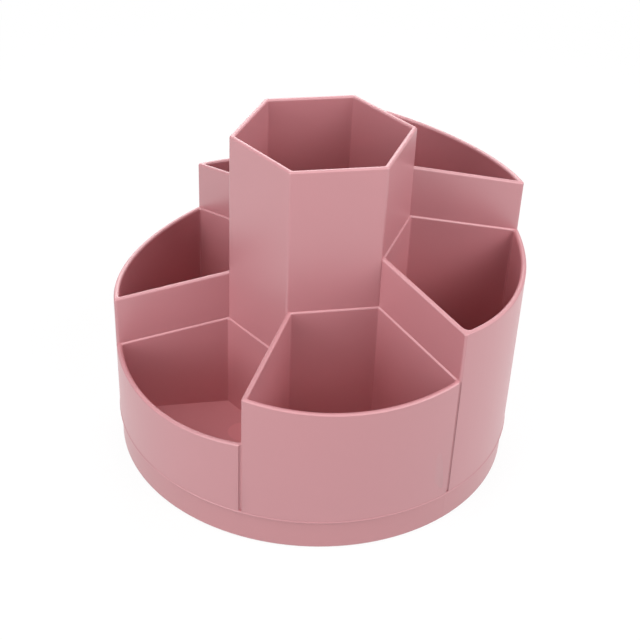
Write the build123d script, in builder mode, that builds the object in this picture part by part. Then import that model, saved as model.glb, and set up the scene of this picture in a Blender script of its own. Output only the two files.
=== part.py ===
"""Desk organizer: a stepped seven-compartment body that turns on a ball-bearing base.

Sizes are in millimetres, +Z is up, the lowest compartment faces -Y and the
object rests on its feet at Z = 0.  Every piece is written to parts/ in place.
"""
import os
from math import cos, radians, sin, tan

from build123d import *

os.makedirs("parts", exist_ok=True)

# Overall form
overall_height = 125.75
body_radius = 74.7          # panels at their lower edge
wall_draft = 0.45           # degrees, the panels lean outward
sides = 6
half_sector = 180 / sides
cut_margin = 5.0            # how far a cut reaches past what it cuts

# Compartment rims
rim_low = 51.25             # front rim where it meets the centre tube
rim_step = 19.6
rim_slope = 13.6            # degrees, each rim falls outward
rim_round = 0.85            # rims are rounded over nearly their whole width

# Moulded walls
outer_wall = 2.0
divider_wall = 1.8
tube_wall = 1.8
tube_rim_round = 0.75
tube_flats = 57.5
rim_ledge = 0.5             # wall below a rim is thicker by this much
wall_bury = 1.5             # a cell runs this far into the tube and into a taller neighbour
cell_corner = 0.6
far_corner = 2.0            # rounder corner at the free divider of a far-side cell
panel_corner = 1.1          # free upright edge of a panel
tube_corner = 1.2
bore_corner = 0.7
groove_half = 0.6
groove_depth = 0.6
groove_arc = 0.75
lip_height = 1.0            # plain strip under the grooves, its lower half proud
lip_proud = 0.2
lip_round = 0.15
lip_bury = 0.4

# Floor and underside of the body
foot_proud = 0.5
seam_height = 12.3          # lower edge of the panels
floor_rise = 0.3
floor_thick = 2.0
floor_cove = 3.5            # rounding between floor and panel
floor_lap = 0.15            # floor disc ends this far inside the cell floors
spigot_wall = 1.5
spigot_drop = 2.0
gate_radius = 5.5           # round shallow dish in the front cell's floor
gate_depth = 0.1
gate_out = 36.6
gate_side = 2.4
gate_curve = (gate_radius ** 2 + gate_depth ** 2) / (2 * gate_depth)
floor_top = seam_height + floor_rise
floor_bottom = floor_top - floor_thick

# Turntable base
seam_gap = 0.25
base_step = 0.7             # base stands back from the panels
base_wall = 2.0
base_plate = 2.2
base_edge_round = 0.6
base_lip_round = 0.3
rib_thick = 1.6
rib_height = 2.5
rib_bury = 1.0
spigot_gap = 0.3
base_radius = body_radius - base_step
base_inner = base_radius - base_wall
base_top = seam_height - seam_gap
spigot_radius = base_inner - spigot_gap
plate_top = foot_proud + base_plate

# Ball bearing
ball_radius = 3.0
ball_count = 12
track_radius = 46.0
track_gap = 0.06            # running clearance of a ball in its groove
track_half_width = 5.0
cage_thick = 0.9
cage_gap = 0.2
cage_half_width = 4.8
cage_pocket_gap = 0.15
ball_height = (plate_top + floor_bottom) / 2
cage_bottom = ball_height - cage_thick / 2
lower_track_top = cage_bottom - cage_gap
upper_track_bottom = cage_bottom + cage_thick + cage_gap

# Pivot
post_radius = 4.5
post_gap = 0.05             # running clearance of the post in its bush
bush_wall = 1.45
bush_flange = 3.0
bush_flange_thick = 1.4
bush_seat_gap = 0.02
thrust_gap = 0.3
hub_wall = 3.0
head_recess_radius = 7.5
head_recess_top = 5.0
end_play = 0.2
washer_radius = 6.5
washer_thick = 1.0
washer_bore_gap = 0.2
shank_radius = 1.5
shank_gap = 0.02
shank_length = 6.0          # length of screw inside the post
pilot_spare = 0.6
head_radius = 4.0
head_height = 2.6
head_round = 1.4
drive_width = 1.0
drive_length = 4.4
drive_depth = 1.5
bush_bore = post_radius + post_gap
bush_radius = bush_bore + bush_wall
post_end = head_recess_top - end_play
flange_top = floor_bottom - thrust_gap
hub_top = flange_top - bush_flange_thick
hub_radius = head_recess_radius + hub_wall
washer_bottom = post_end - washer_thick
head_bottom = washer_bottom - head_height

# Rubber feet
foot_radius = 6.0
foot_height = 2.0
foot_gap = 0.1
foot_chamfer = 0.3
foot_circle = 58.0
foot_count = 4
foot_start = 180 / foot_count

# Derived values of the compartments, listed round the tube from the right rear
apothem = tube_flats / 2
tube_corner_radius = apothem / cos(radians(half_sector))
tube_bore_radius = (apothem - tube_wall) / cos(radians(half_sector))
near_side_rim = rim_low + rim_step
far_side_rim = near_side_rim + rim_step
back_rim = far_side_rim + rim_step
rims = [far_side_rim, back_rim, far_side_rim, near_side_rim, rim_low, near_side_rim]


def ring(inner, outer, bottom, top, mode=Mode.ADD):
    """Add a ring's half section to the open sketch: radii across, heights up."""
    Polygon((inner, bottom), (outer, bottom), (outer, top), (inner, top), mode=mode)


def ball_groove():
    """Cut the ball track's round groove from the open half section."""
    with Locations((track_radius, ball_height)):
        Circle(ball_radius + track_gap, mode=Mode.SUBTRACT)


def polar_point(radius, count, index, start=0.0):
    """Plan position of one of several points spaced evenly on a circle."""
    angle = radians(start + 360 * index / count)
    return radius * cos(angle), radius * sin(angle)


def turned_plane(angle, height):
    """Horizontal plane at a height, with its X axis turned to an angle."""
    direction = (cos(radians(angle)), sin(radians(angle)), 0)
    return Plane(origin=(0, 0, height), x_dir=direction, z_dir=(0, 0, 1))


def rim_plane(angle, rim):
    """Inclined plane of one cell's rim, with its normal pointing up and out."""
    across = cos(radians(angle))
    along = sin(radians(angle))
    lean = sin(radians(rim_slope))
    rise = cos(radians(rim_slope))
    return Plane(
        origin=(apothem * across, apothem * along, rim),
        x_dir=(-along, across, 0),
        z_dir=(lean * across, lean * along, rise),
    )


def groove_plane(angle):
    """Plane square to the panels' slope at the lower end of one groove, Y inward."""
    across = cos(radians(angle))
    along = sin(radians(angle))
    lean = sin(radians(wall_draft))
    rise = cos(radians(wall_draft))
    start = body_radius + lip_height * tan(radians(wall_draft))
    return Plane(
        origin=(start * across, start * along, seam_height + lip_height),
        x_dir=(-along, across, 0),
        z_dir=(lean * across, lean * along, rise),
    )


def groove_length(number):
    """Length of one groove, from the lip to where the lower neighbour's rim meets it."""
    rim = min(rims[number - 1], rims[number])
    fall = (body_radius * cos(radians(half_sector)) - apothem) * tan(radians(rim_slope))
    return rim - fall - seam_height - lip_height


def sector_points(inner, outer, left, right):
    """Corners of a cell's plan outline; left and right move its sides outward."""
    slope = tan(radians(half_sector))
    shift = 1 / cos(radians(half_sector))
    return [
        (inner, slope * inner + left * shift),
        (outer, slope * outer + left * shift),
        (outer, -slope * outer - right * shift),
        (inner, -slope * inner - right * shift),
    ]


def drafted_form(inset, bottom):
    """Round form that follows the panels' slope, its seam turned away from the dividers."""
    slope = tan(radians(wall_draft))
    lower = body_radius - inset + (bottom - seam_height) * slope
    upper = body_radius - inset + (overall_height - seam_height) * slope
    with BuildPart() as form:
        with BuildSketch(Plane.XZ):
            Polygon((0, bottom), (lower, bottom), (upper, overall_height), (0, overall_height))
        revolve(axis=Axis.Z)
    return Rot(Z=half_sector / 2) * form.part


def upright_edges(shape):
    """Edges of a shape that run upward, the ones nearest the middle first."""
    upward = shape.edges().filter_by(lambda edge: abs(edge.tangent_at(0.5).Z) > 0.9)
    return upward.sort_by_distance((0, 0, overall_height / 2))


def across(angle):
    """Axis that runs from a cell's right side to its left side."""
    return Axis((0, 0, 0), (-sin(radians(angle)), cos(radians(angle)), 0))


def outer_corners(shape, angle):
    """The two upright edges farthest from the middle, the right one first."""
    return upright_edges(shape)[-2:].sort_by(across(angle))


def rim_face(shape):
    """The inclined flat face on top of a cell's walls."""
    return shape.faces().filter_by(GeomType.PLANE).sort_by(Axis.Z)[-1]


def cell(index):
    """One outer cell of the body: panel, dividers, floor and a rounded inclined rim."""
    angle = half_sector * (2 * index + 1)
    rim = rims[index]
    taller = [rims[index - 1] > rim, rims[(index + 1) % sides] > rim]
    right_run, left_run = [wall_bury if beside else 0 for beside in taller]
    right_wall, left_wall = [rim_ledge if beside else divider_wall for beside in taller]
    reach = body_radius + cut_margin

    with BuildPart() as pocket:
        with BuildSketch(turned_plane(angle, floor_top)):
            Polygon(sector_points(apothem + rim_ledge, reach, -left_wall, -right_wall))
        extrude(amount=overall_height - floor_top)
        add(inside_form, mode=Mode.INTERSECT)
        fillet(upright_edges(pocket.part)[:2], cell_corner)
        for side, beside in enumerate(taller):
            round_corner = rim == far_side_rim and not beside
            fillet(outer_corners(pocket.part, angle)[side], far_corner if round_corner else cell_corner)
        add(pocket_form.part, mode=Mode.INTERSECT)

    with BuildPart() as walls:
        with BuildSketch(turned_plane(angle, seam_height)):
            Polygon(sector_points(apothem - wall_bury, reach, left_run, right_run))
        extrude(amount=overall_height - seam_height)
        add(outside_form, mode=Mode.INTERSECT)
        for side, beside in enumerate(taller):
            if not beside:
                fillet(outer_corners(walls.part, angle)[side], panel_corner)
        split(bisect_by=rim_plane(angle, rim), keep=Keep.BOTTOM)
        add(pocket.part, mode=Mode.SUBTRACT)
        fillet(rim_face(walls.part).edges(), rim_round)
    return walls.part


# Outside and inside of all panels, the inside also with a cove where it meets the floor
outside_form = drafted_form(0, seam_height)
inside_form = drafted_form(outer_wall, floor_top)
with BuildPart() as pocket_form:
    add(inside_form)
    fillet(pocket_form.edges().group_by(Axis.Z)[0], floor_cove)

# Lip round the panels' lower edge, its upper half sloping back into them
with BuildPart() as panel_lip:
    with BuildSketch(Plane.XZ) as lip_section:
        lip_half = lip_height / 2
        Polygon((body_radius - lip_bury, seam_height), (body_radius + lip_proud, seam_height),
                (body_radius + lip_proud, seam_height + lip_half),
                (body_radius - lip_bury, seam_height + lip_half * (2 + lip_bury / lip_proud)))
        fillet(lip_section.vertices().group_by(Axis.X)[-1], lip_round)
    revolve(axis=Axis.Z)

# Six-sided centre tube, the seventh compartment
with BuildPart() as centre_tube:
    with BuildSketch(Plane.XY.offset(seam_height)):
        RegularPolygon(radius=tube_corner_radius, side_count=sides)
    extrude(amount=overall_height - seam_height)
    fillet(centre_tube.edges().filter_by(Axis.Z), tube_corner)
    with BuildSketch(Plane.XY.offset(floor_top)) as bore:
        RegularPolygon(radius=tube_bore_radius, side_count=sides)
        fillet(bore.vertices(), bore_corner)
    extrude(amount=overall_height - floor_top, mode=Mode.SUBTRACT)
    fillet(centre_tube.faces().sort_by(Axis.Z)[-1].edges(), tube_rim_round)

# Organizer body, one moulding: tube, cells, floor, spigot, upper ball track and post
with BuildPart() as organizer_body:
    with BuildSketch(Plane.XZ):
        ring(0, spigot_radius, floor_bottom, floor_top - floor_lap)
        ring(spigot_radius - spigot_wall, spigot_radius, floor_bottom - spigot_drop, floor_bottom)
        ring(track_radius - track_half_width, track_radius + track_half_width,
             upper_track_bottom, floor_bottom)
        ball_groove()
        ring(0, post_radius, post_end, floor_bottom)
        ring(0, shank_radius + shank_gap, post_end, post_end + shank_length + pilot_spare,
             mode=Mode.SUBTRACT)
    revolve(axis=Axis.Z)
    add(centre_tube.part)
    add(panel_lip.part)
    for number in range(sides):
        add(cell(number))
    for number in range(sides):
        with BuildSketch(groove_plane(2 * half_sector * number)):
            with BuildLine():
                Polyline((groove_half, 0), (groove_half, -cut_margin),
                         (-groove_half, -cut_margin), (-groove_half, 0))
                RadiusArc((-groove_half, 0), (0, groove_depth), groove_arc)
                RadiusArc((0, groove_depth), (groove_half, 0), groove_arc)
            make_face()
        extrude(amount=groove_length(number), mode=Mode.SUBTRACT)
    with BuildSketch(Plane((gate_side, -gate_out, floor_top), x_dir=(1, 0, 0), z_dir=(0, -1, 0))):
        with BuildLine():
            Polyline((0, -gate_depth), (0, gate_depth), (gate_radius, 0))
            RadiusArc((gate_radius, 0), (0, -gate_depth), gate_curve)
        make_face()
    revolve(axis=Axis((gate_side, -gate_out, 0), (0, 0, 1)), mode=Mode.SUBTRACT)
organizer_body.part.label = "organizer_body"
export_step(organizer_body.part, "parts/organizer_body.step")

# Turntable base: plate, outer band, lower ball track, hub and stiffening ribs
with BuildPart() as turntable_base:
    with BuildSketch(Plane.XZ):
        ring(0, base_radius, foot_proud, plate_top)
        ring(base_inner, base_radius, plate_top, base_top)
        ring(track_radius - track_half_width, track_radius + track_half_width,
             plate_top, lower_track_top)
        ball_groove()
        ring(0, hub_radius, plate_top, hub_top)
        ring(0, head_recess_radius, foot_proud, head_recess_top, mode=Mode.SUBTRACT)
        ring(0, bush_radius + bush_seat_gap, head_recess_top, hub_top, mode=Mode.SUBTRACT)
    revolve(axis=Axis.Z)
    fillet(turntable_base.edges().filter_by(GeomType.CIRCLE).group_by(SortBy.RADIUS)[-1]
           .sort_by(Axis.Z)[0], base_edge_round)
    fillet(turntable_base.edges().filter_by(GeomType.CIRCLE).group_by(SortBy.RADIUS)[-1]
           .sort_by(Axis.Z)[-1], base_lip_round)
    inner_span = track_radius - track_half_width - hub_radius + 2 * rib_bury
    outer_span = base_inner - track_radius - track_half_width + 2 * rib_bury
    with BuildSketch(Plane.XY.offset(plate_top)):
        with PolarLocations(hub_radius - rib_bury + inner_span / 2, sides):
            Rectangle(inner_span, rib_thick)
        with PolarLocations(base_inner + rib_bury - outer_span / 2, sides):
            Rectangle(outer_span, rib_thick)
    extrude(amount=rib_height)
    with BuildSketch(Plane.XY.offset(foot_proud)):
        with PolarLocations(foot_circle, foot_count, start_angle=foot_start):
            Circle(foot_radius + foot_gap)
    extrude(amount=foot_height - foot_proud, mode=Mode.SUBTRACT)
turntable_base.part.label = "turntable_base"
export_step(turntable_base.part, "parts/turntable_base.step")

# Pivot bush, seated in the hub with its flange on top
with BuildPart() as pivot_bush:
    with BuildSketch(Plane.XZ):
        ring(bush_bore, bush_radius, head_recess_top, hub_top)
        ring(bush_bore, bush_radius + bush_flange, hub_top, flange_top)
    revolve(axis=Axis.Z)
pivot_bush.part.label = "pivot_bush"
export_step(pivot_bush.part, "parts/pivot_bush.step")

# Washer, clamped against the end of the post
with BuildPart() as pivot_washer:
    with BuildSketch(Plane.XZ):
        ring(shank_radius + washer_bore_gap, washer_radius, washer_bottom, post_end)
    revolve(axis=Axis.Z)
pivot_washer.part.label = "pivot_washer"
export_step(pivot_washer.part, "parts/pivot_washer.step")

# Pan-head screw, driven into the post from below
with BuildPart() as pivot_screw:
    with BuildSketch(Plane.XZ):
        ring(0, head_radius, head_bottom, washer_bottom)
        ring(0, shank_radius, washer_bottom, post_end + shank_length)
    revolve(axis=Axis.Z)
    fillet(pivot_screw.edges().filter_by(GeomType.CIRCLE).sort_by(Axis.Z)[0], head_round)
    with BuildSketch(Plane.XY.offset(head_bottom)):
        Rectangle(drive_length, drive_width)
        Rectangle(drive_width, drive_length)
    extrude(amount=drive_depth, mode=Mode.SUBTRACT)
pivot_screw.part.label = "pivot_screw"
export_step(pivot_screw.part, "parts/pivot_screw.step")

# Ball cage, a flat ring between the two tracks
with BuildPart() as ball_cage:
    with BuildSketch(Plane.XY.offset(cage_bottom)):
        Circle(track_radius + cage_half_width)
        Circle(track_radius - cage_half_width, mode=Mode.SUBTRACT)
        with PolarLocations(track_radius, ball_count):
            Circle(ball_radius + cage_pocket_gap, mode=Mode.SUBTRACT)
    extrude(amount=cage_thick)
ball_cage.part.label = "ball_cage"
export_step(ball_cage.part, "parts/ball_cage.step")

# Bearing balls, one in each cage pocket
for number in range(ball_count):
    name = f"bearing_ball_{number + 1}"
    with BuildPart() as bearing_ball:
        with Locations((*polar_point(track_radius, ball_count, number), ball_height)):
            Sphere(ball_radius)
    bearing_ball.part.label = name
    export_step(bearing_ball.part, f"parts/{name}.step")

# Rubber feet, seated in pockets under the base
for number in range(foot_count):
    name = f"rubber_foot_{number + 1}"
    with BuildPart() as rubber_foot:
        with BuildSketch(Plane.XY):
            with Locations(polar_point(foot_circle, foot_count, number, foot_start)):
                Circle(foot_radius)
        extrude(amount=foot_height)
        chamfer(rubber_foot.edges().group_by(Axis.Z)[0], foot_chamfer)
    rubber_foot.part.label = name
    export_step(rubber_foot.part, f"parts/{name}.step")
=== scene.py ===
"""Looks of the turning desk organizer: moulded plastic, bearing, pivot, feet and a white studio.

Lengths are in metres, +Z is up and the lowest compartment faces -Y.
"""
from math import cos, pi, radians, sin, tan

import bpy
import numpy as np
from bpy.props import FloatProperty, FloatVectorProperty, IntProperty, PointerProperty
from mathutils import Matrix, Vector


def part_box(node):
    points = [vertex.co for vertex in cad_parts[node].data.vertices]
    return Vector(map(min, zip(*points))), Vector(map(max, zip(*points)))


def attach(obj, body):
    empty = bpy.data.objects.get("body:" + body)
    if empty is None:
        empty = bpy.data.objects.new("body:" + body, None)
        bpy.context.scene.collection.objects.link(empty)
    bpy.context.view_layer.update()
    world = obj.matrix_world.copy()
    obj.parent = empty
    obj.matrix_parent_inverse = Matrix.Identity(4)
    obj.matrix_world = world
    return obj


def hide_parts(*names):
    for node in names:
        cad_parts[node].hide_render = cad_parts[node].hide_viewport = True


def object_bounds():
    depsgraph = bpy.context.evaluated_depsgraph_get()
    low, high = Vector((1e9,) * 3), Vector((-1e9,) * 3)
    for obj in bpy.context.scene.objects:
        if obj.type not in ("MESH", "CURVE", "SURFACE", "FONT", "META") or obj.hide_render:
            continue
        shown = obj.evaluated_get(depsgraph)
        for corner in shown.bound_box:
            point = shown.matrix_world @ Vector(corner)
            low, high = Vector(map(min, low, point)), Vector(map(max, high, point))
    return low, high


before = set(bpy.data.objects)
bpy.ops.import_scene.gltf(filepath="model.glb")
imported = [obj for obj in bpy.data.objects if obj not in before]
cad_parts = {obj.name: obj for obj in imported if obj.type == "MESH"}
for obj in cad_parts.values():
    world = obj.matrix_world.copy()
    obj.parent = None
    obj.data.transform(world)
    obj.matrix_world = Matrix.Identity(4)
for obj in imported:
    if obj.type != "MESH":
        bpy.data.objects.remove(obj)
cad_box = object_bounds()

bl_info = {
    "name": "Desk organizer looks",
    "version": (1, 0, 0),
    "blender": (4, 5, 0),
    "location": "View3D > Sidebar > Organizer",
    "description": "Finishes of the moulded body, base, bearing, pivot and feet, in a white studio",
    "category": "Object",
}

MM = 0.001
WHITE = (1.0, 1.0, 1.0, 1.0)
NOISE_MEAN = 0.5
BALLS = [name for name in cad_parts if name.startswith("bearing_ball_")]
FEET = [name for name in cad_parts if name.startswith("rubber_foot_")]
LAMPS = ("low", "front", "right", "side", "rear", "back", "left", "top")

# From the middle of one of the centre tube's flats to its corner
HEX_TURN = radians(30)

# Sockets of a Mix node for each kind of value: first input, second input and output
MIX_SOCKETS = {"VECTOR": (4, 5, 1), "RGBA": (6, 7, 2)}

# Steps round a turned piece, along its profile and along one turn of the thread
FLOOR_SIDES = 96
SCREW_SIDES = 96
FOOT_SIDES = 72
TREAD_STEPS = 60
LOW_EDGE_STEPS = 7
TOP_EDGE_STEPS = 5
HEAD_EDGE_STEPS = 9
THREAD_STEPS = 14
SHARP_ANGLE = radians(40)

# Shares of a size: where the tread starts, width and depth of the cross recess, rings of the
# flat head, rings of the tip, and the slope, root and crest of the thread's triangle wave
TREAD_START = 0.02
RECESS_TAPER = ((0.35, 1.0), (0.75, 0.85), (1.0, 0.0))
CROWN_SHARES = (0.05, 0.5, 1.0)
TIP_SHARES = (0.7, 0.3, 0.02)
RIDGE_SLOPE, RIDGE_ROOT, RIDGE_CREST = 1.6, 0.6, 0.9

FLOOR_REACH = 3.0
SENSOR_WIDTH_MM = 36


# Shader expressions

class Value:
    """A shader socket in Python expressions: each operator adds one Math node."""

    def __init__(self, finish, socket):
        self.finish = finish
        self.socket = socket

    def math(self, operation, first, second=0.0):
        """Add a Math node on values or numbers."""
        return self.finish.node("ShaderNodeMath", {"operation": operation}, {0: first, 1: second})

    def __add__(self, other):
        return self.math("ADD", self, other)

    def __radd__(self, other):
        return self.math("ADD", other, self)

    def __sub__(self, other):
        return self.math("SUBTRACT", self, other)

    def __rsub__(self, other):
        return self.math("SUBTRACT", other, self)

    def __mul__(self, other):
        return self.math("MULTIPLY", self, other)

    def __rmul__(self, other):
        return self.math("MULTIPLY", other, self)

    def __pow__(self, other):
        return self.math("POWER", self, other)

    def __gt__(self, other):
        return self.math("GREATER_THAN", self, other)

    def __lt__(self, other):
        return self.math("LESS_THAN", self, other)

    def __abs__(self):
        return self.math("ABSOLUTE", self)

    def at_least(self, other):
        """The larger of two values."""
        return self.math("MAXIMUM", self, other)


class Finish:
    """A node tree under construction, with one method that adds any node."""

    def __init__(self, tree):
        self.tree = tree

    def node(self, kind, settings=None, sockets=None, output=0):
        """Add a node: settings first, then socket values or links; returns one output."""
        made = self.tree.nodes.new(kind)
        for name, value in (settings or {}).items():
            setattr(made, name, value)
        for key, value in (sockets or {}).items():
            self.feed(made.inputs[key], value)
        return Value(self, made.outputs[output])

    def feed(self, socket, value):
        """Link a value to a socket, or set a plain number, colour or vector on it."""
        if isinstance(value, Value):
            self.tree.links.new(value.socket, socket)
        else:
            socket.default_value = value

    def place(self):
        """Position in the object's own frame."""
        return self.node("ShaderNodeTexCoord", output="Object")

    def along_axes(self):
        """The three coordinates of a position in the object's own frame."""
        parts = self.node("ShaderNodeSeparateXYZ", {}, {"Vector": self.place()}).socket.node.outputs
        return [Value(self, part) for part in parts]

    def stretched(self, scale):
        """Position with each axis scaled."""
        return self.node("ShaderNodeMapping", {}, {"Vector": self.place(), "Scale": scale})

    def noise(self, position, size, detail=2.0, roughness=0.5):
        """Smooth noise from 0 to 1 whose patches measure about the given size."""
        sockets = {"Vector": position, "Scale": 1 / size, "Detail": detail, "Roughness": roughness}
        return self.node("ShaderNodeTexNoise", {}, sockets)

    def mixed(self, factor, first, second, kind="RGBA", blend="MIX"):
        """A share of the way from one colour or vector to another, or to a blend of both."""
        one, two, result = MIX_SOCKETS[kind]
        settings = {"data_type": kind, "blend_type": blend}
        return self.node("ShaderNodeMix", settings, {0: factor, one: first, two: second}, result)

    def eased(self, value, start, end):
        """Smooth step from 0 where a value is at its start to 1 where it is at its end."""
        sockets = {"Value": value, "From Min": start, "From Max": end}
        return self.node("ShaderNodeMapRange", {"interpolation_type": "SMOOTHSTEP"}, sockets)

    def spot(self, centre, radius, edge):
        """1 within a radius of a point, fading to 0 over the width of its edge."""
        sockets = {0: self.place(), 1: centre}
        away = self.node("ShaderNodeVectorMath", {"operation": "DISTANCE"}, sockets, "Value")
        return self.eased(away, radius + edge / 2, radius - edge / 2)

    def upward(self, start, end):
        """0 on faces that lean up by less than a first share of upright, 1 past a second one."""
        normal = self.node("ShaderNodeTexCoord", output="Normal")
        rise = self.node("ShaderNodeSeparateXYZ", {}, {"Vector": normal}, output="Z")
        return self.eased(rise, start, end)

    def bump(self, height, depth, normal=None):
        """Normal from heights whose full range is a depth, over the mesh's or a given normal."""
        sockets = {"Height": height, "Distance": depth, "Strength": 1.0}
        if normal is not None:
            sockets["Normal"] = normal
        return self.node("ShaderNodeBump", {}, sockets)


# Finishes

def new_material(name, constants, varied):
    """Material whose shader has plain constants, and sockets fed by a function of its finish."""
    material = bpy.data.materials.new(name)
    material.use_nodes = True
    shader = material.node_tree.nodes["Principled BSDF"]
    finish = Finish(material.node_tree)
    for socket, value in constants.items():
        shader.inputs[socket].default_value = value
    for socket, value in varied(finish).items():
        finish.feed(shader.inputs[socket], value)
    return material


def dress(name, material):
    """Put one material on every slot of a CAD node."""
    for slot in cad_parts[name].material_slots:
        slot.material = material


def rgba(colour, gain=1.0):
    """Colour with full alpha, lightened or darkened by a gain."""
    return (*[channel * gain for channel in colour], 1.0)


def axis_distance(x, y):
    """Distance from the upright axis: the root of x * x + y * y."""
    return (x * x + y * y) ** 0.5


def painted_shade_mask(finish, look):
    """Mask of the painted shade in the compartments: how deep a point lies, 0 at the rim and
    outside, 1 at full depth or deeper.

    The rim over a point is at low + step * rank - tan(slope) * (hexagon - tube), where rank
    counts the cell boundaries that the point is past, going from the front to the back, and
    hexagon is the half width across flats of the six-sided ring through the point. Inside
    the tube it is the tube's own rim.
    """
    x, y, z = finish.along_axes()
    lean = abs(x) * cos(HEX_TURN)
    rise = y * sin(HEX_TURN)
    boundaries = [lean + rise, y, rise - lean]
    rank = sum(past > look.boundary_margin for past in boundaries)
    hexagon = (lean + abs(rise)).at_least(abs(y))
    fall = tan(look.rim_slope) * (hexagon - look.tube_half)
    cell_rim = look.rim_low + look.rim_step * rank - fall
    in_tube = hexagon < look.tube_half - look.boundary_margin
    rim = cell_rim + (look.tube_rim - cell_rim) * in_tube
    inside = (axis_distance(x, y) < look.skin_radius) * (z > look.core_floor)
    return finish.eased(rim - z, 0.0, look.core_depth) * inside


def panel_normal(finish, look):
    """Normal of the outer panels' cone at points on it, and the mesh's own normal elsewhere.

    The cone's radius is foot radius + (z - foot height) * tan(draft), and its outward normal
    runs along (x, y, -radius * tan(draft)).
    """
    x, y, z = finish.along_axes()
    radius = axis_distance(x, y)
    fall = tan(look.panel_draft)
    cone = look.panel_radius + (z - look.panel_foot) * fall
    on_panel = abs(radius - cone) < look.panel_tolerance
    outward = finish.node("ShaderNodeCombineXYZ", {}, {"X": x, "Y": y, "Z": radius * -fall})
    settings = {"vector_type": "NORMAL", "convert_from": "OBJECT", "convert_to": "WORLD"}
    turned = finish.node("ShaderNodeVectorTransform", settings, {"Vector": outward})
    own = finish.node("ShaderNodeNewGeometry", output="Normal")
    return finish.mixed(on_panel, own, turned, kind="VECTOR")


def moulded_plastic(name, look, tint):
    """Satin injection-moulded plastic, duller where it looks up, with painted shade that darkens
    and reddens its colour deeper in its compartments.

    Fine mould grain and faint upright draw lines give its relief, soft flow clouds vary its
    tint and gloss, and a round moulding mark lightens the front floor.
    """
    def varied(finish):
        place = finish.place()
        grain = finish.noise(place, look.grain_size, detail=3.0)
        clouds = finish.noise(place, look.cloud_size, detail=3.0)
        draw = finish.noise(finish.stretched((1.0, 1.0, look.draw_stretch)), look.draw_size)
        dark, light = rgba(tint, 1 - look.cloud_depth), rgba(tint, 1 + look.cloud_depth)
        mark = finish.spot(look.mark_place, look.mark_radius, look.mark_edge)
        marked = finish.mixed(mark, finish.mixed(clouds, dark, light), rgba(tint, look.mark_gain))
        # Painted shade: the colour is multiplied by a darker, redder tint deeper in the
        # compartments, standing in for their shade and interreflection
        deep = painted_shade_mask(finish, look)
        dull = finish.upward(look.rim_start, look.rim_full)
        satin = look.roughness + (look.rim_roughness - look.roughness) * dull
        sheen = (clouds - NOISE_MEAN) * look.cloud_sheen + (draw - NOISE_MEAN) * look.draw_sheen
        relief = grain + draw * look.draw_height
        return {
            "Base Color": finish.mixed(deep, marked, rgba(look.painted_shade_tint), blend="MULTIPLY"),
            "Roughness": satin + sheen,
            "Normal": finish.bump(relief, look.grain_depth, panel_normal(finish, look)),
        }
    return new_material(name, {"IOR": look.ior, "Specular IOR Level": look.specular}, varied)


def bearing_plastic(name, look):
    """Smooth white bearing plastic with a faint cloudy depth."""
    def varied(finish):
        place = finish.place()
        clouds = finish.noise(place, look.bearing_cloud_size)
        grain = finish.noise(place, look.bearing_grain_size)
        shade = rgba(look.bearing_colour, 1 - look.bearing_shade)
        return {
            "Base Color": finish.mixed(clouds, shade, rgba(look.bearing_colour)),
            "Roughness": look.bearing_roughness + clouds * look.bearing_haze,
            "Normal": finish.bump(grain, look.bearing_relief),
        }
    return new_material(name, {"IOR": look.bearing_ior}, varied)


def plated_steel(name, look):
    """Bright zinc plating: crystalline clouds in tint and gloss."""
    def varied(finish):
        place = finish.place()
        sockets = {"Vector": place, "Scale": 1 / look.zinc_crystal_size}
        crystals = finish.node("ShaderNodeTexVoronoi", {}, sockets)
        clouds = finish.noise(place, look.zinc_cloud_size, detail=4.0)
        shade = rgba(look.zinc_colour, 1 - look.zinc_shade)
        haze = clouds * look.zinc_cloud_haze + crystals * look.zinc_crystal_haze
        return {
            "Base Color": finish.mixed(clouds, shade, rgba(look.zinc_colour)),
            "Roughness": look.zinc_roughness + haze,
            "Normal": finish.bump(clouds + crystals * look.zinc_crystal_height, look.zinc_relief),
        }
    return new_material(name, {"Metallic": 1.0}, varied)


def polished_steel(name, look):
    """Polished bearing steel with fine lapping haze."""
    def varied(finish):
        haze = finish.noise(finish.place(), look.ball_haze_size, detail=4.0)
        shade = rgba(look.ball_colour, 1 - look.ball_shade)
        return {
            "Base Color": finish.mixed(haze, shade, rgba(look.ball_colour)),
            "Roughness": look.ball_roughness + haze * look.ball_haze,
        }
    return new_material(name, {"Metallic": 1.0}, varied)


def foot_rubber(name, look):
    """Matte rubber: dull speckle and a fine pebbled skin."""
    def varied(finish):
        place = finish.place()
        speckle = finish.noise(place, look.rubber_speckle_size, detail=4.0, roughness=0.7)
        bloom = finish.noise(place, look.rubber_bloom_size)
        dark = rgba(look.rubber_colour, 1 - look.rubber_speckle)
        light = rgba(look.rubber_colour, 1 + look.rubber_speckle)
        return {
            "Base Color": finish.mixed(speckle, dark, light),
            "Roughness": look.rubber_roughness + bloom * look.rubber_bloom,
            "Normal": finish.bump(speckle, look.rubber_relief),
        }
    return new_material(name, {"IOR": look.rubber_ior}, varied)


# Surfaces turned about an upright axis

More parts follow.
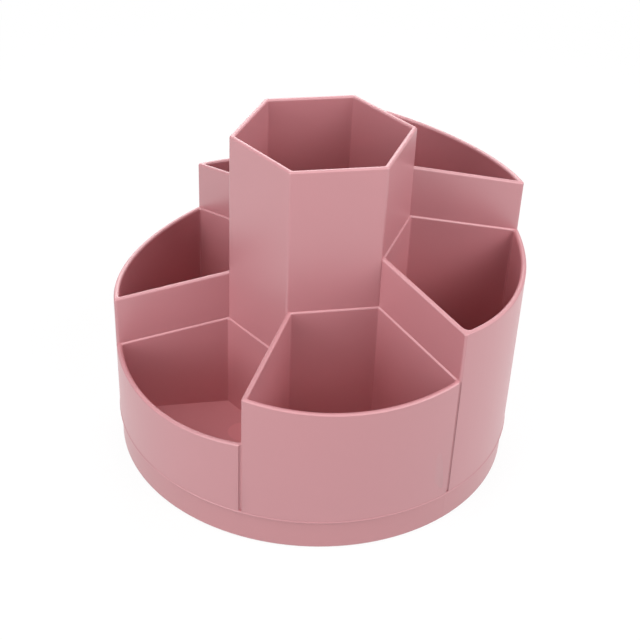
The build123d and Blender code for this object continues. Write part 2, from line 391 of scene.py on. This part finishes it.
def turned_piece(name, rings, centre):
    """Closed mesh from rings of points about an upright axis.

    rings[i, j] is the point of profile step i at angle step j; the first and the
    last ring are closed by a pole at their mean, and quads join ring i to ring i + 1.
    """
    count, around = rings.shape[:2]
    poles = np.array([rings[0].mean(axis=0), rings[-1].mean(axis=0)])
    points = np.concatenate([rings.reshape(-1, 3), poles]) + np.array(centre)
    step, turn = np.meshgrid(np.arange(count - 1), np.arange(around), indexing="ij")
    here = step * around + turn
    beside = step * around + (turn + 1) % around
    quads = np.stack([here, beside, beside + around, here + around], axis=-1).reshape(-1, 4)
    first = np.arange(around)
    second = (first + 1) % around
    last = (count - 1) * around
    low_pole, high_pole = np.full(around, count * around), np.full(around, count * around + 1)
    low_fan = np.stack([second, first, low_pole], axis=-1)
    high_fan = np.stack([last + first, last + second, high_pole], axis=-1)
    mesh = bpy.data.meshes.new(name)
    mesh.from_pydata(points.tolist(), [], quads.tolist() + low_fan.tolist() + high_fan.tolist())
    mesh.shade_smooth()
    mesh.set_sharp_from_angle(angle=SHARP_ANGLE)
    piece = bpy.data.objects.new(name, mesh)
    bpy.context.scene.collection.objects.link(piece)
    return piece


def full_turn(sides):
    """Angles of equal steps round a full turn."""
    return np.linspace(0, 2 * pi, sides, endpoint=False)


def turned_rings(radius, height, angle):
    """Points (r cos a, r sin a, z), with r and z constant or varying with the angle a."""
    radius, height, angle = np.broadcast_arrays(radius, height, angle)
    return np.stack([radius * np.cos(angle), radius * np.sin(angle), height], axis=-1)


def corner_arc(centre, radius, start, end, steps):
    """Radius and height of profile points on a circular arc, centre + radius * (cos a, sin a)."""
    angle = np.radians(np.linspace(start, end, steps))
    return centre[0] + radius * np.cos(angle), centre[1] + radius * np.sin(angle)


def foot_profile(radius, height, look):
    """Half section of a foot, from the middle of its tread to the middle of its top.

    The tread's height is depth * sin(pi * rings * r / reach) ** 2, which touches
    the ground on each ridge; the edges are quarter arcs.
    """
    edge = look.foot_edge
    top = edge / 2
    reach = radius - 2 * edge
    tread_r = np.linspace(TREAD_START * reach, reach, TREAD_STEPS)
    tread_z = look.tread_depth * np.sin(pi * look.tread_rings * tread_r / reach) ** 2
    low_r, low_z = corner_arc((radius - edge, edge), edge, 270, 360, LOW_EDGE_STEPS)
    top_r, top_z = corner_arc((radius - top, height - top), top, 0, 90, TOP_EDGE_STEPS)
    return np.concatenate([tread_r, low_r, top_r]), np.concatenate([tread_z, low_z, top_z])


def cross_outline(angle, arm, half_width):
    """Radius of a cross-shaped outline at an angle: the nearer of an arm's end and its side.

    Within an arm the end is at arm / max(|cos|, |sin|) and the side at
    half_width / min(|cos|, |sin|), and the inner corner caps the gaps between arms.
    """
    longer = np.maximum(np.abs(np.cos(angle)), np.abs(np.sin(angle)))
    shorter = np.minimum(np.abs(np.cos(angle)), np.abs(np.sin(angle)))
    return np.minimum(arm / longer, half_width / np.maximum(shorter, half_width / (2 * arm)))


def screw_rings(head_radius, head_height, length, look):
    """Rings of a pan-head screw standing on its head at z = 0.

    The head is a flat with a rounded edge and a tapering cross recess. The shank's
    radius is core + rise * ridge(z / pitch - a / 2 pi), with the ridge a clipped
    triangle wave, faded out below the head and into the tip.
    """
    angle = full_turn(SCREW_SIDES)
    mouth = cross_outline(angle, look.recess_arm, look.recess_half)
    edge = look.head_edge
    flat = head_radius - edge
    recess = [turned_rings(mouth * width, look.recess_depth * depth, angle)
              for width, depth in RECESS_TAPER]
    crown = [turned_rings(mouth + (flat - mouth) * share, 0.0, angle) for share in CROWN_SHARES]
    arc_r, arc_z = corner_arc((flat, edge), edge, 270, 360, HEAD_EDGE_STEPS)
    side = turned_rings(arc_r[1:, None], arc_z[1:, None], angle)
    core = look.shank_radius - look.thread_rise
    under = [turned_rings(radius, head_height, angle) for radius in (head_radius, core)]
    thread_end = length - look.tip_length
    steps = int(THREAD_STEPS * length / look.thread_pitch)
    z = np.linspace(head_height, thread_end, steps)[:, None]
    wave = np.abs(2 * np.mod(z / look.thread_pitch - angle / (2 * pi), 1.0) - 1)
    ridge = np.clip(RIDGE_SLOPE * wave - RIDGE_ROOT, 0, RIDGE_CREST) / RIDGE_CREST
    run_in = np.clip((z - head_height) / look.thread_pitch, 0, 1)
    run_out = np.clip((thread_end - z) / look.thread_pitch, 0, 1)
    shank = turned_rings(core + look.thread_rise * ridge * run_in * run_out, z, angle)
    tip = [turned_rings(core * share, length - look.tip_length * share, angle)
           for share in TIP_SHARES]
    return np.concatenate([recess, crown, side, under, shank, tip])


# Studio

def seen_directly(finish):
    """1 on rays that show the surroundings as they are: camera, mirror and see-through rays."""
    rays = finish.node("ShaderNodeLightPath").socket.node.outputs
    names = ("Is Camera Ray", "Is Glossy Ray", "Is Transmission Ray")
    camera, glossy, through = (Value(finish, rays[name]) for name in names)
    return camera + glossy + through


def make_floor(look):
    """Pale round floor that shows white, with a share of its own shading near the object."""
    outline = turned_rings(FLOOR_REACH, 0.0, full_turn(FLOOR_SIDES))
    mesh = bpy.data.meshes.new("studio_floor")
    mesh.from_pydata(outline.tolist(), [], [list(range(len(outline)))])
    floor = bpy.data.objects.new("studio_floor", mesh)
    bpy.context.scene.collection.objects.link(floor)
    material = bpy.data.materials.new("studio_white")
    material.use_nodes = True
    finish = Finish(material.node_tree)
    seen = seen_directly(finish)
    shade = finish.mixed(seen, rgba(look.floor_colour), WHITE)
    matte = finish.node("ShaderNodeBsdfDiffuse", {}, {"Color": shade})
    white = finish.node("ShaderNodeEmission", {}, {"Color": WHITE, "Strength": 1.0})
    near = finish.spot((0.0, 0.0, 0.0), look.shadow_reach, look.shadow_reach)
    share = seen * (1 - look.floor_shadow * near)
    surface = finish.node("ShaderNodeMixShader", {}, {0: share, 1: matte, 2: white})
    finish.feed(material.node_tree.nodes["Material Output"].inputs["Surface"], surface)
    floor.data.materials.append(material)


def make_surroundings(scene, look):
    """White world: plain white where seen, a set strength where it lights."""
    world = bpy.data.worlds.new("white_surroundings")
    world.use_nodes = True
    background = world.node_tree.nodes["Background"]
    background.inputs["Color"].default_value = WHITE
    finish = Finish(world.node_tree)
    seen = seen_directly(finish)
    finish.feed(background.inputs["Strength"], look.fill + seen * (1 - look.fill))
    scene.world = world


def direction(azimuth, elevation):
    """Unit vector towards an azimuth, counted from -Y towards +X, and an elevation."""
    level = cos(elevation)
    return Vector((sin(azimuth) * level, -cos(azimuth) * level, sin(elevation)))


def make_lamps(look):
    """Round softboxes that face the middle of the object."""
    middle = (cad_box[0] + cad_box[1]) / 2
    for side in LAMPS:
        towards = direction(*getattr(look, f"{side}_lamp"))
        lamp = bpy.data.lights.new(f"{side}_softbox", "AREA")
        lamp.shape = "DISK"
        lamp.size = look.lamp_size
        lamp.energy = getattr(look, f"{side}_power")
        softbox = bpy.data.objects.new(f"{side}_softbox", lamp)
        softbox.location = middle + towards * look.lamp_distance
        softbox.rotation_euler = (-towards).to_track_quat("-Z", "Y").to_euler()
        bpy.context.scene.collection.objects.link(softbox)


def make_camera(scene, look):
    """Camera at an azimuth, elevation and distance from its aim, rolled about its view."""
    back = direction(look.azimuth, look.elevation)
    data = bpy.data.cameras.new("studio_camera")
    data.sensor_width = SENSOR_WIDTH_MM
    data.lens = look.lens
    camera = bpy.data.objects.new("studio_camera", data)
    turn = (-back).to_track_quat("-Z", "Y").to_matrix().to_4x4()
    place = Matrix.Translation(Vector(look.aim) + back * look.distance)
    camera.matrix_world = place @ turn @ Matrix.Rotation(look.roll, 4, "Z")
    scene.collection.objects.link(camera)
    scene.camera = camera
    scene.view_settings.view_transform = "Standard"


# Settings

class PlasticLook(bpy.types.PropertyGroup):
    """Finish of the moulded body and base, and the sizes of the body that it follows."""

    body_colour: FloatVectorProperty(
        name="Body colour", description="Dusty pink of the moulded body",
        subtype="COLOR", default=(0.500, 0.203, 0.225), min=0, max=1)
    base_colour: FloatVectorProperty(
        name="Base colour", description="Pink of the turntable base",
        subtype="COLOR", default=(0.485, 0.188, 0.207), min=0, max=1)
    roughness: FloatProperty(
        name="Roughness", description="Mean roughness of the satin plastic",
        subtype="FACTOR", default=0.33, min=0, max=1)
    rim_roughness: FloatProperty(
        name="Rim roughness", description="Roughness of rims and other faces that look up",
        subtype="FACTOR", default=0.55, min=0, max=1)
    rim_start: FloatProperty(
        name="Rim start", description="Share of upright from which a face begins to count as a rim",
        subtype="FACTOR", default=0.05, min=0, max=1)
    rim_full: FloatProperty(
        name="Rim full", description="Share of upright from which a face is as rough as a rim",
        subtype="FACTOR", default=0.6, min=0, max=1)
    specular: FloatProperty(
        name="Specular", description="Strength of the plastic's gloss",
        subtype="FACTOR", default=1.0, min=0, max=1)
    ior: FloatProperty(
        name="IOR", description="Index of refraction of the plastic's skin", default=1.6, min=1)
    grain_size: FloatProperty(
        name="Grain size", description="Width of one grain of the mould's texture",
        unit="LENGTH", default=0.25 * MM)
    grain_depth: FloatProperty(
        name="Grain depth", description="Height of the mould's texture",
        unit="LENGTH", default=0.006 * MM)
    cloud_size: FloatProperty(
        name="Cloud size", description="Width of the soft flow clouds",
        unit="LENGTH", default=28 * MM)
    cloud_depth: FloatProperty(
        name="Cloud depth", description="How far the clouds lighten or darken the colour",
        subtype="FACTOR", default=0.02, min=0, max=1)
    cloud_sheen: FloatProperty(
        name="Cloud sheen", description="How far the clouds vary the roughness",
        subtype="FACTOR", default=0.06, min=0, max=1)
    draw_size: FloatProperty(
        name="Draw line width", description="Width of the faint upright draw lines",
        unit="LENGTH", default=1.1 * MM)
    draw_stretch: FloatProperty(
        name="Draw line shortness", description="How much shorter distance counts along a line",
        subtype="FACTOR", default=0.02, min=0, max=1)
    draw_height: FloatProperty(
        name="Draw line height", description="Height of the draw lines as a share of the grain's",
        subtype="FACTOR", default=0.35, min=0, max=1)
    draw_sheen: FloatProperty(
        name="Draw line sheen", description="How far the draw lines vary the roughness",
        subtype="FACTOR", default=0.05, min=0, max=1)
    mark_place: FloatVectorProperty(
        name="Mark place", description="Middle of the round moulding mark in the front floor",
        subtype="TRANSLATION", unit="LENGTH", default=(2.4 * MM, -36.6 * MM, 12.6 * MM))
    mark_radius: FloatProperty(
        name="Mark radius", description="Radius of the moulding mark",
        unit="LENGTH", default=5.5 * MM)
    mark_edge: FloatProperty(
        name="Mark edge", description="Width over which the moulding mark fades",
        unit="LENGTH", default=0.7 * MM)
    mark_gain: FloatProperty(
        name="Mark gain", description="How much lighter the moulding mark is", default=1.14)
    panel_radius: FloatProperty(
        name="Panel radius", description="Radius of the outer panels at their foot",
        unit="LENGTH", default=74.7 * MM)
    panel_foot: FloatProperty(
        name="Panel foot", description="Height of the outer panels' foot",
        unit="LENGTH", default=12.3 * MM)
    panel_draft: FloatProperty(
        name="Panel draft", description="Angle at which the outer panels lean out",
        subtype="ANGLE", default=radians(0.45))
    panel_tolerance: FloatProperty(
        name="Panel tolerance", description="How far from the panels' cone a point counts as on it",
        unit="LENGTH", default=0.1 * MM)
    # Painted shade: darker, redder tint multiplied into the compartments' walls at full depth,
    # standing in for their shade
    painted_shade_tint: FloatVectorProperty(
        name="Core tint", description="Tint of the compartments' walls at full depth",
        subtype="COLOR", default=(1.04, 0.86, 0.855), min=0, max=2)
    # Depth under the rim at which the painted shade is full
    core_depth: FloatProperty(
        name="Core depth", description="Depth under the rim at which the tint is full",
        unit="LENGTH", default=40 * MM)
    core_floor: FloatProperty(
        name="Core floor", description="Height just under the compartments' floors",
        unit="LENGTH", default=12.4 * MM)
    rim_low: FloatProperty(
        name="Low rim", description="Height of the front rim at the tube",
        unit="LENGTH", default=51.25 * MM)
    rim_step: FloatProperty(
        name="Rim step", description="Step from one rim to the next",
        unit="LENGTH", default=19.6 * MM)
    rim_slope: FloatProperty(
        name="Rim slope", description="Angle at which the rims fall outward",
        subtype="ANGLE", default=radians(13.6))
    tube_half: FloatProperty(
        name="Tube half width", description="Half the centre tube's width across flats",
        unit="LENGTH", default=28.75 * MM)
    tube_rim: FloatProperty(
        name="Tube rim", description="Height of the centre tube",
        unit="LENGTH", default=cad_box[1].z)
    skin_radius: FloatProperty(
        name="Skin radius", description="Radius of the middle of the outer wall",
        unit="LENGTH", default=73.7 * MM)
    boundary_margin: FloatProperty(
        name="Boundary margin", description="How far into a wall a compartment's finish ends",
        unit="LENGTH", default=0.3 * MM)


class HardwareLook(bpy.types.PropertyGroup):
    """Finishes of the bearing, the pivot and the feet."""

    bearing_colour: FloatVectorProperty(
        name="Bearing colour", description="White of the bush and the ball cage",
        subtype="COLOR", default=(0.76, 0.76, 0.72), min=0, max=1)
    bearing_shade: FloatProperty(
        name="Bearing shade", description="How far clouds darken the white plastic",
        subtype="FACTOR", default=0.04, min=0, max=1)
    bearing_cloud_size: FloatProperty(
        name="Bearing cloud size", description="Width of the clouds in the white plastic",
        unit="LENGTH", default=12 * MM)
    bearing_grain_size: FloatProperty(
        name="Bearing grain size", description="Width of the white plastic's grain",
        unit="LENGTH", default=0.4 * MM)
    bearing_relief: FloatProperty(
        name="Bearing relief", description="Height of the white plastic's grain",
        unit="LENGTH", default=0.004 * MM)
    bearing_roughness: FloatProperty(
        name="Bearing roughness", description="Least roughness of the white plastic",
        subtype="FACTOR", default=0.3, min=0, max=1)
    bearing_haze: FloatProperty(
        name="Bearing haze", description="How far clouds roughen the white plastic",
        subtype="FACTOR", default=0.12, min=0, max=1)
    bearing_ior: FloatProperty(
        name="Bearing IOR", description="Index of refraction of the white plastic",
        default=1.48, min=1)
    zinc_colour: FloatVectorProperty(
        name="Zinc colour", description="Plating of the screw and the washer",
        subtype="COLOR", default=(0.62, 0.63, 0.64), min=0, max=1)
    zinc_shade: FloatProperty(
        name="Zinc shade", description="How far clouds darken the plating",
        subtype="FACTOR", default=0.1, min=0, max=1)
    zinc_cloud_size: FloatProperty(
        name="Zinc cloud size", description="Width of the plating's clouds",
        unit="LENGTH", default=3 * MM)
    zinc_crystal_size: FloatProperty(
        name="Zinc crystal size", description="Width of one crystal of the plating",
        unit="LENGTH", default=0.9 * MM)
    zinc_crystal_height: FloatProperty(
        name="Zinc crystal height", description="Height of a crystal as a share of the clouds'",
        subtype="FACTOR", default=0.4, min=0, max=1)
    zinc_relief: FloatProperty(
        name="Zinc relief", description="Height of the plating's clouds",
        unit="LENGTH", default=0.005 * MM)
    zinc_roughness: FloatProperty(
        name="Zinc roughness", description="Least roughness of the plating",
        subtype="FACTOR", default=0.24, min=0, max=1)
    zinc_cloud_haze: FloatProperty(
        name="Zinc cloud haze", description="How far clouds roughen the plating",
        subtype="FACTOR", default=0.14, min=0, max=1)
    zinc_crystal_haze: FloatProperty(
        name="Zinc crystal haze", description="How far crystals roughen the plating",
        subtype="FACTOR", default=0.06, min=0, max=1)
    ball_colour: FloatVectorProperty(
        name="Ball colour", description="Polished steel of the balls",
        subtype="COLOR", default=(0.67, 0.67, 0.68), min=0, max=1)
    ball_shade: FloatProperty(
        name="Ball shade", description="How far the lapping haze darkens the balls",
        subtype="FACTOR", default=0.04, min=0, max=1)
    ball_haze_size: FloatProperty(
        name="Ball haze size", description="Width of the lapping haze",
        unit="LENGTH", default=1.2 * MM)
    ball_roughness: FloatProperty(
        name="Ball roughness", description="Least roughness of the balls",
        subtype="FACTOR", default=0.06, min=0, max=1)
    ball_haze: FloatProperty(
        name="Ball haze", description="How far the lapping haze roughens the balls",
        subtype="FACTOR", default=0.06, min=0, max=1)
    rubber_colour: FloatVectorProperty(
        name="Rubber colour", description="Grey of the feet",
        subtype="COLOR", default=(0.075, 0.075, 0.078), min=0, max=1)
    rubber_speckle: FloatProperty(
        name="Rubber speckle", description="How far the speckle lightens or darkens the grey",
        subtype="FACTOR", default=0.25, min=0, max=1)
    rubber_speckle_size: FloatProperty(
        name="Rubber speckle size", description="Width of one speckle",
        unit="LENGTH", default=0.5 * MM)
    rubber_relief: FloatProperty(
        name="Rubber relief", description="Height of the pebbled skin",
        unit="LENGTH", default=0.02 * MM)
    rubber_roughness: FloatProperty(
        name="Rubber roughness", description="Least roughness of the feet",
        subtype="FACTOR", default=0.72, min=0, max=1)
    rubber_bloom: FloatProperty(
        name="Rubber bloom", description="How far the bloom roughens the feet",
        subtype="FACTOR", default=0.2, min=0, max=1)
    rubber_bloom_size: FloatProperty(
        name="Rubber bloom size", description="Width of the dull patches of bloom",
        unit="LENGTH", default=4 * MM)
    rubber_ior: FloatProperty(
        name="Rubber IOR", description="Index of refraction of the rubber", default=1.45, min=1)


class SmallPartLook(bpy.types.PropertyGroup):
    """Sizes of the detail on the feet and the screw."""

    tread_rings: IntProperty(
        name="Tread rings", description="Grooves in a foot's tread", default=4, min=1)
    tread_depth: FloatProperty(
        name="Tread depth", description="Depth of the tread's grooves",
        unit="LENGTH", default=0.3 * MM)
    foot_edge: FloatProperty(
        name="Foot edge", description="Rounding of a foot's lower edge",
        unit="LENGTH", default=0.4 * MM)
    recess_arm: FloatProperty(
        name="Recess arm", description="Reach of the cross recess from its middle",
        unit="LENGTH", default=2.2 * MM)
    recess_half: FloatProperty(
        name="Recess half width", description="Half the width of an arm",
        unit="LENGTH", default=0.5 * MM)
    recess_depth: FloatProperty(
        name="Recess depth", description="Depth of the cross recess",
        unit="LENGTH", default=1.5 * MM)
    head_edge: FloatProperty(
        name="Head edge", description="Rounding of the screw head",
        unit="LENGTH", default=1.4 * MM)
    shank_radius: FloatProperty(
        name="Shank radius", description="Radius of the screw over its thread",
        unit="LENGTH", default=1.5 * MM)
    thread_pitch: FloatProperty(
        name="Thread pitch", description="Rise of the thread in one turn",
        unit="LENGTH", default=1.25 * MM)
    thread_rise: FloatProperty(
        name="Thread rise", description="Height of the thread over the core",
        unit="LENGTH", default=0.4 * MM)
    tip_length: FloatProperty(
        name="Tip length", description="Length of the tapered tip",
        unit="LENGTH", default=1.2 * MM)


class StudioLook(bpy.types.PropertyGroup):
    """Camera, floor, surroundings and softboxes."""

    azimuth: FloatProperty(
        name="Azimuth", description="Direction that the camera stands in, from -Y towards +X",
        subtype="ANGLE", default=radians(48.303))
    elevation: FloatProperty(
        name="Elevation", description="Height of the camera over the horizon",
        subtype="ANGLE", default=radians(33.99))
    roll: FloatProperty(
        name="Roll", description="Turn of the camera about its view",
        subtype="ANGLE", default=radians(2.603))
    distance: FloatProperty(
        name="Distance", description="From the aim point to the camera",
        unit="LENGTH", default=0.52063)
    aim: FloatVectorProperty(
        name="Aim", description="Point in the middle of the picture",
        subtype="TRANSLATION", unit="LENGTH", default=(0.00096, 0.00108, 0.04714))
    lens: FloatProperty(
        name="Lens", description="Focal length in millimetres on a 36 mm sensor",
        unit="CAMERA", default=77.573)
    fill: FloatProperty(
        name="Fill", description="Strength of the white surroundings as a light",
        subtype="FACTOR", default=0.0, min=0, max=1)
    floor_colour: FloatVectorProperty(
        name="Floor colour", description="Pale grey that the floor reflects",
        subtype="COLOR", default=(0.5, 0.5, 0.5), min=0, max=1)
    floor_shadow: FloatProperty(
        name="Floor shadow", description="Share of the floor's own shading that the picture shows",
        subtype="FACTOR", default=0.08, min=0, max=1)
    shadow_reach: FloatProperty(
        name="Shadow reach", description="How far from the object the floor's shading fades out",
        unit="LENGTH", default=0.3)
    lamp_size: FloatProperty(
        name="Softbox size", description="Diameter of each softbox", unit="LENGTH", default=0.6)
    lamp_distance: FloatProperty(
        name="Softbox distance", description="From each softbox to the object",
        unit="LENGTH", default=0.9)
    low_lamp: FloatVectorProperty(
        name="Low front softbox", description="Azimuth and elevation of the low front softbox",
        size=2, unit="ROTATION", default=(radians(0), radians(5)))
    low_power: FloatProperty(
        name="Low front power", description="Power of the low front softbox",
        unit="POWER", default=4.2)
    front_lamp: FloatVectorProperty(
        name="Front softbox", description="Azimuth and elevation of the front softbox",
        size=2, unit="ROTATION", default=(radians(0), radians(35)))
    front_power: FloatProperty(
        name="Front power", description="Power of the front softbox",
        unit="POWER", default=2.3)
    right_lamp: FloatVectorProperty(
        name="Right softbox", description="Azimuth and elevation of the right softbox",
        size=2, unit="ROTATION", default=(radians(90), radians(35)))
    right_power: FloatProperty(
        name="Right power", description="Power of the right softbox",
        unit="POWER", default=3.05)
    side_lamp: FloatVectorProperty(
        name="Low right softbox", description="Azimuth and elevation of the low right softbox",
        size=2, unit="ROTATION", default=(radians(112.5), radians(20)))
    side_power: FloatProperty(
        name="Low right power", description="Power of the low right softbox",
        unit="POWER", default=2.2)
    rear_lamp: FloatVectorProperty(
        name="Rear softbox", description="Azimuth and elevation of the rear softbox",
        size=2, unit="ROTATION", default=(radians(135), radians(35)))
    rear_power: FloatProperty(
        name="Rear power", description="Power of the rear softbox",
        unit="POWER", default=2.35)
    back_lamp: FloatVectorProperty(
        name="Back softbox", description="Azimuth and elevation of the back softbox",
        size=2, unit="ROTATION", default=(radians(225), radians(35)))
    back_power: FloatProperty(
        name="Back power", description="Power of the back softbox",
        unit="POWER", default=4.2)
    left_lamp: FloatVectorProperty(
        name="Left softbox", description="Azimuth and elevation of the low left softbox",
        size=2, unit="ROTATION", default=(radians(247.5), radians(12)))
    left_power: FloatProperty(
        name="Left power", description="Power of the left softbox",
        unit="POWER", default=3.0)
    top_lamp: FloatVectorProperty(
        name="Top softbox", description="Azimuth and elevation of the top softbox",
        size=2, unit="ROTATION", default=(radians(0), radians(68)))
    top_power: FloatProperty(
        name="Top power", description="Power of the top softbox",
        unit="POWER", default=2.9)


# Operators

class ORGANIZER_OT_body(bpy.types.Operator):
    """Give the seven-compartment body its satin pink plastic"""

    bl_idname = "organizer.body"
    bl_label = "Moulded body"

    def execute(self, context):
        look = context.scene.organizer_plastic
        dress("organizer_body", moulded_plastic("satin_pink_plastic", look, look.body_colour))
        return {"FINISHED"}


class ORGANIZER_OT_base(bpy.types.Operator):
    """Give the turntable base its satin pink plastic"""

    bl_idname = "organizer.base"
    bl_label = "Turntable base"

    def execute(self, context):
        look = context.scene.organizer_plastic
        dress("turntable_base", moulded_plastic("satin_pink_base_plastic", look, look.base_colour))
        return {"FINISHED"}


class ORGANIZER_OT_bearing(bpy.types.Operator):
    """Finish the cage in white plastic and its balls in polished steel"""

    bl_idname = "organizer.bearing"
    bl_label = "Ball bearing"

    def execute(self, context):
        look = context.scene.organizer_hardware
        steel = polished_steel("polished_ball_steel", look)
        dress("ball_cage", bearing_plastic("white_cage_plastic", look))
        for name in BALLS:
            dress(name, steel)
        return {"FINISHED"}


class ORGANIZER_OT_pivot(bpy.types.Operator):
    """Finish the bush and the washer, and make the threaded screw"""

    bl_idname = "organizer.pivot"
    bl_label = "Pivot"

    def execute(self, context):
        look = context.scene.organizer_hardware
        sizes = context.scene.organizer_small_parts
        zinc = plated_steel("zinc_plating", look)
        dress("pivot_bush", bearing_plastic("white_bush_plastic", look))
        dress("pivot_washer", zinc)
        low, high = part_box("pivot_screw")
        size = high - low
        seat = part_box("pivot_washer")[0].z
        rings = screw_rings(size.x / 2, seat - low.z, size.z, sizes)
        screw = turned_piece("threaded_pivot_screw", rings, (0.0, 0.0, low.z))
        screw.data.materials.append(zinc)
        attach(screw, "carousel")
        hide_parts("pivot_screw")
        return {"FINISHED"}


class ORGANIZER_OT_feet(bpy.types.Operator):
    """Make the rubber feet with their ringed treads"""

    bl_idname = "organizer.feet"
    bl_label = "Rubber feet"

    def execute(self, context):
        sizes = context.scene.organizer_small_parts
        rubber = foot_rubber("foot_rubber", context.scene.organizer_hardware)
        angle = full_turn(FOOT_SIDES)
        for name in FEET:
            low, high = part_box(name)
            size = high - low
            radius, height = foot_profile(size.x / 2, size.z, sizes)
            rings = turned_rings(radius[:, None], height[:, None], angle)
            centre = ((low.x + high.x) / 2, (low.y + high.y) / 2, low.z)
            foot = turned_piece(name.replace("rubber_foot", "treaded_foot"), rings, centre)
            foot.data.materials.append(rubber)
            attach(foot, "base")
            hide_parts(name)
        return {"FINISHED"}


class ORGANIZER_OT_studio(bpy.types.Operator):
    """Set up the white studio: floor, surroundings, softboxes and camera"""

    bl_idname = "organizer.studio"
    bl_label = "White studio"

    def execute(self, context):
        look = context.scene.organizer_studio
        make_floor(look)
        make_surroundings(context.scene, look)
        make_lamps(look)
        make_camera(context.scene, look)
        return {"FINISHED"}


# Panel and registration

class ORGANIZER_PT_panel(bpy.types.Panel):
    """Lists the pieces and their settings"""

    bl_idname = "ORGANIZER_PT_panel"
    bl_label = "Desk organizer"
    bl_space_type = "VIEW_3D"
    bl_region_type = "UI"
    bl_category = "Organizer"

    def draw(self, context):
        for operator in OPERATORS:
            self.layout.operator(operator.bl_idname)
        for group in GROUPS:
            settings = getattr(context.scene, group)
            for name in settings.__annotations__:
                self.layout.prop(settings, name)


GROUPS = {
    "organizer_plastic": PlasticLook,
    "organizer_hardware": HardwareLook,
    "organizer_small_parts": SmallPartLook,
    "organizer_studio": StudioLook,
}
OPERATORS = [
    ORGANIZER_OT_body, ORGANIZER_OT_base, ORGANIZER_OT_bearing,
    ORGANIZER_OT_pivot, ORGANIZER_OT_feet, ORGANIZER_OT_studio,
]
CLASSES = [*GROUPS.values(), *OPERATORS, ORGANIZER_PT_panel]


def register():
    """Register the classes and hang the settings on the scene."""
    for cls in CLASSES:
        bpy.utils.register_class(cls)
    for name, group in GROUPS.items():
        setattr(bpy.types.Scene, name, PointerProperty(type=group))


def unregister():
    """Take the settings and the classes away again."""
    for name in GROUPS:
        delattr(bpy.types.Scene, name)
    for cls in reversed(CLASSES):
        bpy.utils.unregister_class(cls)


def build():
    """Call every operator in order."""
    bpy.ops.organizer.body()
    bpy.ops.organizer.base()
    bpy.ops.organizer.bearing()
    bpy.ops.organizer.pivot()
    bpy.ops.organizer.feet()
    bpy.ops.organizer.studio()


def main():
    register()
    build()


if __name__ == "__main__":
    main()
